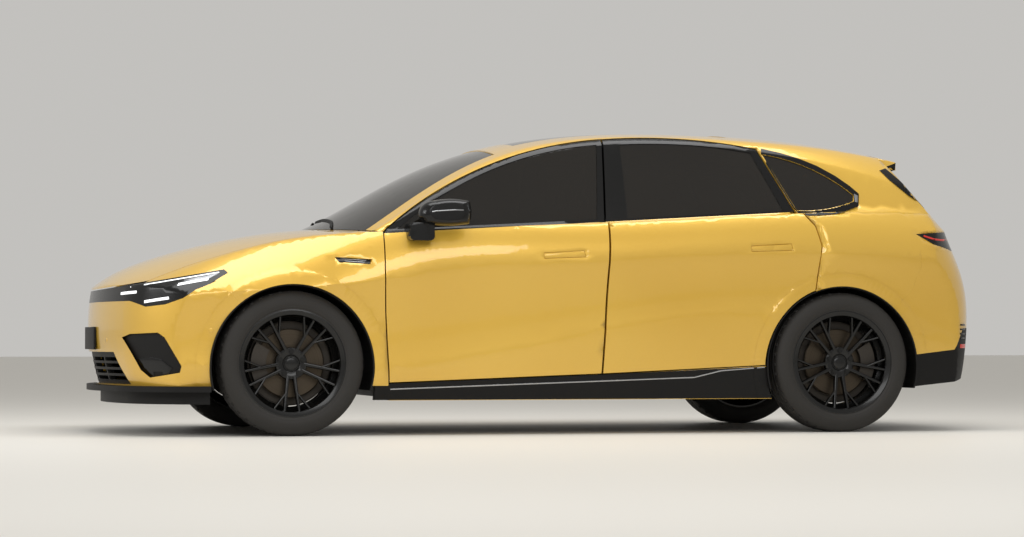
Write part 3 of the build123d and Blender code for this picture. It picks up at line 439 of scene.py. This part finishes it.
# %% Spun discs with turned rings
DISC = [(78, 12), (160, 12), (165, 9), (165, 3), (150, 2), (150, -4), (165, -5), (165, -11), (160, -14), (60, -14),
        (33, -10), (33, 29), (74, 29), (78, 25)]
SHIELD = [(60, -20), (196, -20), (199, -17), (201, -17), (201, -24), (60, -24)]
DISC_STEPS = 72
RING_MM = 2.5
# a shield stays behind when the wheel turns: in front it is steered with the knuckle
HUB_BODY = {"front": "front_knuckle_{side}", "rear": "body"}


def make_disc_iron(end):
    """Grey iron, turned: fine rings round the axle, rust brown between the brighter ones."""
    made, tree, surface, place = new_material(f"{end}_turned_iron", Roughness=0.38, Metallic=0.85)
    centre = node(tree, "ShaderNodeMapping", {"Vector": place, "Location": (-AXLES[end], 0, -AXLE_Z),
                                              "Scale": (1, 0, 1)})
    far = node(tree, "ShaderNodeVectorMath", {0: centre.outputs["Vector"]}, operation="LENGTH")
    rings = node(tree, "ShaderNodeTexNoise", {"W": far.outputs["Value"], "Scale": per_mm(RING_MM), "Detail": 2.0},
                 noise_dimensions="1D")
    blend(tree, rings.outputs["Fac"], "2B2620", "574D40", surface)
    bump = node(tree, "ShaderNodeBump", {"Height": rings.outputs["Fac"], "Strength": 0.3, "Distance": 0.0005})
    tree.links.new(bump.outputs["Normal"], surface.inputs["Normal"])
    return made


for end in AXLES:
    iron = make_disc_iron(end)
    for side in SIDES:
        bm = spun(DISC, DISC_STEPS)
        to_hub(bm, end, side)
        finish_mesh(f"{end}_disc_{side}", bm, iron, f"{end}_wheel_{side}")
        bm = spun(SHIELD, DISC_STEPS)
        to_hub(bm, end, side)
        finish_mesh(f"{end}_brake_shield_{side}", bm, CAST, HUB_BODY[end].format(side=side))
print("four turned discs, each with a shield behind it")

# %% [markdown]
# ## Pieces laid on the skin
# Trims and lamps follow the body's curves. Each one starts as a flat outline, seen from the side, an end, a
# corner or above. It is cut into cells, every corner is dropped on the solids by a ray, and the sheet is then
# extruded to its thickness with rounded edges. So a trim fits the panel below it from every side, and not
# only in one view.

# %% A helper that lays an outline on the solids
# metres out from the middle of the car to where a ray starts
REACH = 4.0
SLANT = math.sqrt(0.5)
# the ray that looks at the car, and the outline's first and second axis, for the left side
VIEWS = {"side": ((0, 1, 0), (1, 0, 0), (0, 0, 1)), "front": ((1, 0, 0), (0, 1, 0), (0, 0, 1)),
         "rear": ((-1, 0, 0), (0, 1, 0), (0, 0, 1)), "top": ((0, 0, 1), (1, 0, 0), (0, 1, 0)),
         "front_corner": ((SLANT, SLANT, 0), (-SLANT, SLANT, 0), (0, 0, 1)),
         "rear_corner": ((-SLANT, SLANT, 0), (SLANT, SLANT, 0), (0, 0, 1))}


def surface_of(*names):
    """A tree for casting rays at some solids."""
    bm = bmesh.new()
    for name in names:
        bm.from_mesh(frame["nodes"][name].data)
    tree = BVHTree.FromBMesh(bm)
    bm.free()
    return tree


def laid_mesh(outline, tree, view, hand=1, cell=60, sink=1.0, height=2.0, bevel=0.6):
    """The mesh of an outline in millimetres laid on a surface, on the left for hand 1 and on the right for -1.
    It starts sink below the surface, so that no gap shows, and stands height above it."""
    ray, first, second = [Vector((x, y * hand, z)) for x, y, z in VIEWS[view]]
    bm = bmesh.new()
    bm.faces.new([bm.verts.new((first * a + second * b) * MM) for a, b in outline])
    for axis, values in ((first, [a for a, _ in outline]), (second, [b for _, b in outline])):
        low, span = min(values), max(values) - min(values)
        cuts = int(span / cell)
        for k in range(1, cuts + 1):
            bmesh.ops.bisect_plane(bm, geom=bm.verts[:] + bm.edges[:] + bm.faces[:], dist=THINNEST,
                                   plane_co=axis * (low + span * k / (cuts + 1)) * MM, plane_no=axis)
    lost = []
    for vert in bm.verts:
        hit = tree.ray_cast(vert.co + ray * REACH, -ray)[0]
        if hit is None:
            lost.append(vert)
        else:
            vert.co = hit - ray * sink * MM
    bmesh.ops.delete(bm, geom=lost, context="VERTS")
    grown = bmesh.ops.extrude_face_region(bm, geom=bm.faces[:])["geom"]
    front = [item for item in grown if isinstance(item, bmesh.types.BMVert)]
    bmesh.ops.translate(bm, vec=ray * (sink + height) * MM, verts=front)
    if bevel:
        kept = set(front)
        rim = [edge for edge in bm.edges if set(edge.verts) <= kept
               and any(not set(face.verts) <= kept for face in edge.link_faces)]
        bmesh.ops.bevel(bm, geom=rim, offset=bevel * MM, offset_type="OFFSET", segments=2, profile=0.5,
                        affect="EDGES", material=-1, clamp_overlap=True)
    bmesh.ops.recalc_face_normals(bm, faces=bm.faces)
    return bm


print("laid-on helper ready for", ", ".join(VIEWS))


# %% [markdown]
# ## Outlines
# Most trims are strips along a line, or small rounds, and nearly all of them come in pairs. So a strip is
# written as its middle line and its width, a round as its centre and radius, and one call lays a piece on the
# left and its twin on the right. The rays see every outer solid of one side, so a piece may cross from one
# panel to the next.

# %% Strips, rounds and pairs
def ribbon(points, width):
    """The outline of a strip of some width along a line of points."""
    near, far = [], []
    for k, (a, b) in enumerate(points):
        (a0, b0), (a1, b1) = points[max(k - 1, 0)], points[min(k + 1, len(points) - 1)]
        run = math.hypot(a1 - a0, b1 - b0)
        off_a, off_b = (b1 - b0) / run * width / 2, -(a1 - a0) / run * width / 2
        near.append((a + off_a, b + off_b))
        far.insert(0, (a - off_a, b - off_b))
    return near + far


def ring_outline(centre, radius, corners=16):
    """The outline of a round piece."""
    turns = [math.tau * k / corners for k in range(corners)]
    return [(centre[0] + radius * math.cos(turn), centre[1] + radius * math.sin(turn)) for turn in turns]


SKINS = {side: surface_of("front_fenders", "front_bumper", "rear_bumper", f"side_frame_{side}",
                          f"front_door_{side}", f"rear_door_{side}", "sill_trims", "headlamps", "tail_lamps",
                          "rear_diffuser", "front_grille", "tailgate", "tailgate_lamp", "quarter_windows")
         for side in SIDES}


def lay_both(name, outline, view, material, slot=None, tree=None, **shape):
    """Lays a trim on the left and its twin on the right."""
    for side, hand in SIDES.items():
        bm = laid_mesh(outline, tree or SKINS[side], view, hand, **shape)
        finish_mesh(f"{name}_{side}", bm, material, "body")


print("outer solids of", " and ".join(SKINS), "ready for pairs of trims")

# %% [markdown]
# ## Window surrounds
# The frames of the doors, above the waist, are covered in gloss black, so that the side windows read as one
# dark band. Each door's copy is cut along the waist line and both halves are closed again: paint below, black
# above.

# %% Doors in two finishes
BELT_AT = Vector((0, 0, 1.015))
BELT_UP = Vector((0.06, 0, 1)).normalized()


def halves(name, at, along):
    """A solid's copy cut in two by a plane, each half closed again: the one below and the one above."""
    made = []
    for above in (False, True):
        bm = copy_of(name)
        cut = bmesh.ops.bisect_plane(bm, geom=bm.verts[:] + bm.edges[:] + bm.faces[:], dist=THINNEST, plane_co=at,
                                     plane_no=along, clear_inner=above, clear_outer=not above)["geom_cut"]
        rim = [item for item in cut if isinstance(item, bmesh.types.BMEdge)]
        bmesh.ops.triangle_fill(bm, edges=rim, use_beauty=True, normal=along * (-1 if above else 1))
        made.append(bm)
    return made


for end in AXLES:
    for side in SIDES:
        door = f"{end}_door_{side}"
        below, above = halves(door, BELT_AT, BELT_UP)
        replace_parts(evened(finish_mesh(f"{door}_panel", below, PAINT, door)), door)
        evened(finish_mesh(f"{door}_frame", above, BLACK_GLOSS, door))
print("four doors in two finishes")

# %% [markdown]
# ## Strips between the windows
# The same black goes on the pillar behind the front door, on the narrow ridge behind the rear door, and round
# the quarter window, where it ends in a small bright tip. That one is cut into fine cells, and those that
# would hang over the opening are left out, so that its inner edge follows the window.

# %% Pillar, ridge and quarter strips
QUARTER_LINE = [(-1032, 1389), (-1130, 1368), (-1220, 1341), (-1310, 1306), (-1400, 1257), (-1470, 1208),
                (-1510, 1175), (-1506, 1131), (-1430, 1105), (-1350, 1089), (-1270, 1082), (-1190, 1080)]
QUARTER_TIP = [(-1498, 1182), (-1517, 1172), (-1513, 1138), (-1499, 1140)]
PILLAR_LINE = [(-196, 1010), (-207, 1220), (-216.5, 1425)]
DOOR_END_LINE = [(-1027, 1383), (-1048, 1340), (-1098, 1246), (-1150.5, 1150), (-1174, 1106), (-1190, 1082)]
# each strip's middle line and width, and how it is laid
STRIPS = {"quarter": (QUARTER_LINE, 32, {"cell": 4, "height": 3.0, "bevel": 0}),
          "pillar": (PILLAR_LINE, 34, {"cell": 30, "height": 2.0}),
          "door_end": (DOOR_END_LINE, 7.5, {"cell": 30, "height": 2.0})}
for side, hand in SIDES.items():
    side_frame = surface_of(f"side_frame_{side}")
    for strip, (line, width, shape) in STRIPS.items():
        bm = laid_mesh(ribbon(line, width), side_frame, "side", hand, **shape)
        finish_mesh(f"{strip}_strip_{side}", bm, BLACK_GLOSS, "body")
lay_both("quarter_tip", QUARTER_TIP, "side", BRIGHT, cell=20, height=4.0)
print("strips laid:", ", ".join(STRIPS))

# %% [markdown]
# ## Side details
# A black vent behind the front wheel with two bright fins, a thin bright line along the sill that kicks up
# before the rear wheel, and a round sensor at each corner of the bumpers.

# %% Vents, sill lines and sensors
VENT = [(1146, 845), (975, 835), (982, 813), (1128, 821)]
VENT_FINS = [[(1120, 838), (1000, 831)], [(1110, 828), (1005, 822)]]
SILL_LINE = [(880, 219), (450, 234), (-200, 256), (-628, 271), (-764, 303), (-985, 320)]
lay_both("fender_vent", VENT, "side", BLACK_GLOSS, "black_gloss", cell=40, height=1.5)
for k, line in enumerate(VENT_FINS):
    lay_both(f"fender_vent_fin_{k}", ribbon(line, 3.5), "side", BRIGHT, cell=40, height=4.0)
lay_both("sill_line", ribbon(SILL_LINE, 6), "side", BRIGHT, cell=80, height=2.0)
SENSOR_R = 11
SIDE_SENSORS = [(1736, 497), (-1812, 487)]
for k, centre in enumerate(SIDE_SENSORS):
    lay_both(f"sensor_{k}", ring_outline(centre, SENSOR_R), "side", PAINT, "body_paint", cell=40, height=1.5)
print("side details laid on")

# %% [markdown]
# ## Lamps
# The headlamps are slim black units with three short white light guides each, and a thin light line runs
# along their upper edge. The guides are moulded with fine upright ribs, so a lit lens has a drawn pattern of
# ribs and not one flat white. The tail lamps carry a red guide that goes on across the tailgate.

# %% Light guides in front and behind
def make_lit(name, dark, light, rib_mm, strength):
    """A lit lens with ribs rib_mm apart, each brighter along its middle. A wave of scale 1 is tau / 20 long."""
    made, tree, surface, place = new_material(name, Roughness=0.15, Emission_Strength=strength)
    ribs = node(tree, "ShaderNodeTexWave", {"Vector": place, "Scale": math.tau / 20 * per_mm(rib_mm)})
    tone = blend(tree, ribs.outputs["Fac"], dark, light, surface)
    tree.links.new(tone, surface.inputs["Emission Color"])
    return made


WHITE_GUIDE = make_lit("white_light_guide", "D9DDE2", "FFFFFF", 5.0, 0.9)
RED_GUIDE = make_lit("red_light_guide", "7A1410", "C8352A", 6.0, 0.35)
LAMP_GREY = make_grained("lamp_reflector_grey", "7E8083", "94969A", 0.25, 12.0, 0.05, Metallic=0.6)

# middle lines in the front corner's view: across the corner, and up
GUIDES = [[(-1106, 674), (-968, 680)], [(-908, 633), (-766, 650)], [(-742, 714), (-628, 740)]]
GUIDE_WIDTH = 13
for k, line in enumerate(GUIDES):
    lay_both(f"light_guide_{k}", ribbon(line, GUIDE_WIDTH), "front_corner", WHITE_GUIDE, cell=40, height=2.5)
LIGHT_LINE = [(2085, 704), (2000, 719), (1868, 742), (1740, 764), (1690, 772)]
lay_both("light_line", ribbon(LIGHT_LINE, 5), "side", WHITE_GUIDE, cell=60, height=1.5)
LAMP_TIP = [(1690, 768), (1760, 732), (1850, 724), (1855, 738), (1740, 759)]
lay_both("lamp_tip", LAMP_TIP, "side", LAMP_GREY, cell=40, height=1.0)
TAIL_GUIDE = [(-1822, 970), (-1880, 953), (-1940, 951), (-1990, 956)]
lay_both("tail_guide", ribbon(TAIL_GUIDE, 9), "side", RED_GUIDE, "rear_lamp", cell=40, height=1.5)
TAILGATE_GUIDE = [(-640, 950), (-320, 950), (0, 950), (320, 950), (640, 950)]
bm = laid_mesh(ribbon(TAILGATE_GUIDE, 12), surface_of("tailgate_lamp"), "rear", cell=60, height=1.5)
finish_mesh("tailgate_guide", bm, RED_GUIDE, "tailgate")
# the reflector takes the lit red of the guides, so it glows though it is no lamp: a painted glow
REFLECTOR = [(-955, 412), (-855, 412), (-855, 432), (-955, 432)]
lay_both("rear_reflector", REFLECTOR, "rear_corner", RED_GUIDE, "rear_lamp", cell=40, height=1.5)
print("lamps with", len(GUIDES), "guides a side")

# %% [markdown]
# ## Nose and tail
# A dark blank plate stands on the bumper, the corner ducts have a glossy lower panel, and round sensors sit
# in the bumper. Behind, fins cross the bumper's corner vents, and black blades frame the rear window's sides.

# %% Plate, duct panels, sensors, fins and blades
PLATE_SIZE = (12, 440, 110)
PLATE_AT = (2210, 0, 462)


def block_mesh(size, at, bevel):
    """A box in millimetres with rounded edges."""
    bm = bmesh.new()
    bmesh.ops.create_cube(bm, size=1.0)
    bmesh.ops.scale(bm, vec=Vector(size) * MM, verts=bm.verts)
    bmesh.ops.bevel(bm, geom=bm.edges[:], offset=bevel * MM, offset_type="OFFSET", segments=3, profile=0.5,
                    affect="EDGES", material=-1)
    bmesh.ops.translate(bm, vec=Vector(at) * MM, verts=bm.verts)
    return bm


finish_mesh("front_plate", block_mesh(PLATE_SIZE, PLATE_AT, 2.5), BLACK_PLASTIC, "body")
DUCT_PANEL = [(-985, 362), (-875, 372), (-818, 361), (-762, 322), (-783, 296), (-843, 281), (-903, 285)]
lay_both("duct_panel", DUCT_PANEL, "front_corner", BLACK_GLOSS, "black_gloss", tree=surface_of("front_grille"),
         cell=30, height=2.0)
END_SENSORS = [((394, 453), "front"), ((640, 620), "rear")]
for k, (centre, view) in enumerate(END_SENSORS):
    lay_both(f"end_sensor_{k}", ring_outline(centre, SENSOR_R), view, PAINT, "body_paint", cell=40, height=1.5)
FIN_COUNT, FIN_FOOT, FIN_PITCH = 4, 462, 22
for k in range(FIN_COUNT):
    level = FIN_FOOT + FIN_PITCH * k
    fin = ribbon([(-905, level), (-845, level)], 8)
    lay_both(f"corner_fin_{k}", fin, "rear_corner", BLACK_GLOSS, "black_gloss", cell=40, height=5.0)
BLADE_FRONT = [(-1660, 1304), (-1700, 1316), (-1740, 1272), (-1800, 1206), (-1880, 1140), (-1965, 1092),
               (-1900, 1112), (-1790, 1176), (-1700, 1252)]
BLADE_TOP = [(-1705, 1318), (-1790, 1349), (-1784, 1290), (-1745, 1276)]
for side, hand in SIDES.items():
    bm = laid_mesh(BLADE_FRONT, surface_of(f"side_frame_{side}"), "side", hand, cell=14, height=4.0)
    finish_mesh(f"rear_blade_{side}", bm, BLACK_GLOSS, "body")
    bm = laid_mesh(BLADE_TOP, surface_of("tailgate"), "side", hand, cell=14, height=4.0)
    finish_mesh(f"spoiler_blade_{side}", bm, BLACK_GLOSS, "tailgate")
print("nose and tail pieces laid on")

# %% [markdown]
# ## Mirrors and wipers
# A mirror is black with a thin bright line along its middle, and its glass looks back. The wipers lie on the
# foot of the windscreen: an arm with a blade each, both swept the same way.

# %% Mirror glass and line, wipers
MIRROR_GLASS = make_grained("mirror_glass", "8F969B", "A3A9AE", 0.04, 90.0, 0.005, Metallic=1.0)
MIRROR_LINE = [(742, 1052), (690, 1062), (600, 1068), (522, 1068)]
MIRROR_FACE = [(942, 1020), (1024, 1026), (1030, 1092), (946, 1100)]
WIPERS = [[(1092, 480), (1060, 300), (1062, 60), (1070, -80)],
          [(1092, -60), (1062, -240), (1056, -420), (1050, -560)]]
# width and height of a blade and its arm
WIPER_PARTS = {"blade": (9, 9), "arm": (16, 5)}
for side, hand in SIDES.items():
    housing = surface_of(f"mirror_{side}")
    line = laid_mesh(ribbon(MIRROR_LINE, 5), housing, "side", hand, cell=40, height=1.2)
    finish_mesh(f"mirror_line_{side}", line, BRIGHT, f"front_door_{side}")
    face = laid_mesh(MIRROR_FACE, housing, "rear", hand, cell=40, sink=0.5, height=1.0)
    finish_mesh(f"mirror_face_{side}", face, MIRROR_GLASS, f"front_door_{side}")
screen = surface_of("windscreen")
for k, line in enumerate(WIPERS):
    for part, (width, height) in WIPER_PARTS.items():
        bm = laid_mesh(ribbon(line, width), screen, "top", cell=50, height=height)
        finish_mesh(f"wiper_{part}_{k}", bm, BLACK_PLASTIC, "body")
print("mirrors and wipers done")

# %% [markdown]
# ## Seats
# Seats are padded, so a box won't do. Each cushion starts as a fine grid on a cube. Its faces are crowned,
# its sides pull in between the corners, bolsters rise along both edges, and rows of points are drawn in where
# the cover is sewn. A subdivision rounds what is left. The plinths and the posts of the headrests stay plain.

# %% A padded cushion
ROWS = 12
SEAM_DEPTH = 7.0
# on the cube, which runs from -1 to 1: the padded face, the inner edge of a bolster and the end of a cross seam
FACE = 0.99
BOLSTER_EDGE = 8 / ROWS
SEAM_END = 0.7
ON_ROW = 0.01
# how much of the thickness is crown, and how far the sides and the ends pull in
CROWN = 0.2
SIDE_PULL = 0.035
END_PULL = 0.03


def cushion(name, size, at, turn, bolster, seams, replaced=None):
    """A padded piece: size along its face's normal, across and along it, in millimetres, then its place and turn."""
    thick, across, along = [extent / 2 for extent in size]
    bm = bmesh.new()
    bmesh.ops.create_cube(bm, size=2.0)
    bmesh.ops.subdivide_edges(bm, edges=bm.edges[:], cuts=ROWS - 1, use_grid_fill=True)
    for vert in bm.verts:
        n, b, c = vert.co
        rise = n * thick * (1 - CROWN + CROWN * (1 - b ** 4) * (1 - c ** 4))
        if n > FACE:
            cross_seam = abs(b) < SEAM_END and any(abs(c - row) < ON_ROW for row in seams)
            long_seam = bolster and abs(abs(b) - BOLSTER_EDGE) < ON_ROW
            rise -= bolster + (SEAM_DEPTH if cross_seam or long_seam else 0.0)
            if abs(b) < FACE:
                rise += bolster * max(0.0, abs(b) - BOLSTER_EDGE) * 3
        narrow = 1 - SIDE_PULL * (1 - min(c * c, 1.0))
        short = 1 - END_PULL * (1 - b * b)
        vert.co = (rise, b * across * narrow, c * along * short)
    bmesh.ops.recalc_face_normals(bm, faces=bm.faces)
    place = Matrix.Translation(Vector(at) * MM) @ Matrix.Rotation(math.radians(turn), 4, "Y") @ Matrix.Scale(MM, 4)
    bmesh.ops.transform(bm, matrix=place, verts=bm.verts)
    piece = finish_mesh(name, bm, LEATHER, "body", math.radians(180))
    soft = piece.modifiers.new("rounding", "SUBSURF")
    soft.levels = soft.render_levels = 1
    if replaced:
        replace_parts(piece, replaced)
    return piece


print("a cushion starts from", 6 * ROWS * ROWS, "faces")

# %% [markdown]
# ## The cabin
# Two front seats, each with a cushion, a back and a headrest on two bright posts, a bench behind them, and a
# dark screen on the dashboard. A cushion lies flat, so it is turned by a right angle; a back leans as on the
# solid.

# %% Front seats, rear bench and screen
SEAT_Y = 370
LAID, LEAN, REAR_LEAN = -90, -17, -18
SEAT_SEAMS = (-1 / 3, 1 / 3)
BACK_SEAMS = (-1 / 2, -1 / 6, 1 / 6, 1 / 2)
POST_Y, POST_R, POST_LENGTH = 45, 0.006, 0.12


def plinth(name, size, at):
    """The plain plastic foot of a seat."""
    finish_mesh(name, block_mesh(size, at, 8), BLACK_PLASTIC, "body")


for side, hand in SIDES.items():
    y = hand * SEAT_Y
    cushion(f"seat_cushion_{side}", (118, 486, 496), (130, y, 540), LAID, 14, SEAT_SEAMS,
            "front_seats" if hand > 0 else None)
    cushion(f"seat_back_{side}", (116, 466, 636), (-205, y, 850), LEAN, 14, BACK_SEAMS)
    cushion(f"seat_headrest_{side}", (78, 248, 148), (-325, y, 1228), LEAN, 0, ())
    plinth(f"seat_plinth_{side}", (380, 360, 176), (130, y, 411))
    for k in (-1, 1):
        bm = bmesh.new()
        foot = Matrix.Translation(Vector((-306, y + k * POST_Y, 1150)) * MM)
        bmesh.ops.create_cone(bm, cap_ends=True, segments=16, radius1=POST_R, radius2=POST_R, depth=POST_LENGTH,
                              matrix=foot @ Matrix.Rotation(math.radians(LEAN), 4, "Y"))
        finish_mesh(f"headrest_post_{side}_{k + 1}", bm, BRIGHT, "body")
cushion("rear_bench", (146, 1236, 476), (-730, 0, 505), LAID, 10, SEAT_SEAMS, "rear_seat")
cushion("rear_back", (108, 1086, 596), (-1000, 0, 830), REAR_LEAN, 10, BACK_SEAMS)
plinth("rear_plinth", (430, 1200, 126), (-755, 0, 386))
finish_mesh("dash_screen", block_mesh((14, 340, 190), (512, -20, 985), 4), BLACK_GLOSS, "body")
print("two front seats and a rear bench padded")

# %% [markdown]
# ## Studio
# A plain pale floor, a pale world, and three large soft lamps: one overhead that draws the shoulder line, one
# beside the camera, and one ahead of the nose. The camera stands where the photograph was taken from, low and
# far away.

# %% Floor, light and camera
CAMERA_AT = Vector((3.6486, 14.8077, 0.4624))
CAMERA_ALONG = Vector((-0.23483, -0.97176, 0.02329))
CAMERA_LENS = 104.94
SENSOR = 36.0
FLOOR_REACH = 60.0
WORLD_STRENGTH = 0.6
# place, target, size and power of each lamp
LAMPS = {"overhead": ((0.0, 1.0, 5.0), (0.0, 0.0, 0.6), (6.0, 3.0), 230),
         "camera_side": ((1.5, 9.0, 4.0), (0.0, 0.0, 0.6), (7.0, 2.5), 200),
         "nose": ((8.0, 2.0, 3.0), (1.5, 0.0, 0.6), (4.0, 2.0), 130)}


def make_floor():
    bm = bmesh.new()
    bmesh.ops.create_grid(bm, x_segments=1, y_segments=1, size=FLOOR_REACH)
    mesh = bpy.data.meshes.new("studio_floor")
    bm.to_mesh(mesh)
    bm.free()
    made, _, surface, _ = new_material("pale_floor", Roughness=0.5)
    surface.inputs["Base Color"].default_value = linear("DAD7D0")
    mesh.materials.append(made)
    floor = bpy.data.objects.new("studio_floor", mesh)
    bpy.context.scene.collection.objects.link(floor)


def make_lamp(name, place, target, size, power):
    data = bpy.data.lights.new(name, "AREA")
    data.shape = "RECTANGLE"
    data.size, data.size_y = size
    data.energy = power
    lamp = bpy.data.objects.new(name, data)
    lamp.location = place
    lamp.rotation_euler = (Vector(target) - Vector(place)).to_track_quat("-Z", "Y").to_euler()
    bpy.context.scene.collection.objects.link(lamp)


def make_world():
    world = bpy.data.worlds.new("studio")
    world.use_nodes = True
    background = world.node_tree.nodes["Background"]
    background.inputs["Color"].default_value = linear("F4F2EE")
    background.inputs["Strength"].default_value = WORLD_STRENGTH
    bpy.context.scene.world = world


def make_camera():
    data = bpy.data.cameras.new("photo_camera")
    data.lens, data.sensor_width = CAMERA_LENS, SENSOR
    camera = bpy.data.objects.new("photo_camera", data)
    camera.location = CAMERA_AT
    camera.rotation_euler = CAMERA_ALONG.to_track_quat("-Z", "Y").to_euler()
    bpy.context.scene.collection.objects.link(camera)
    bpy.context.scene.camera = camera


make_floor()
make_world()
for name, settings in LAMPS.items():
    make_lamp(name, *settings)
make_camera()
bpy.context.scene.view_settings.view_transform = "Standard"
print("studio with", len(LAMPS), "soft lamps")
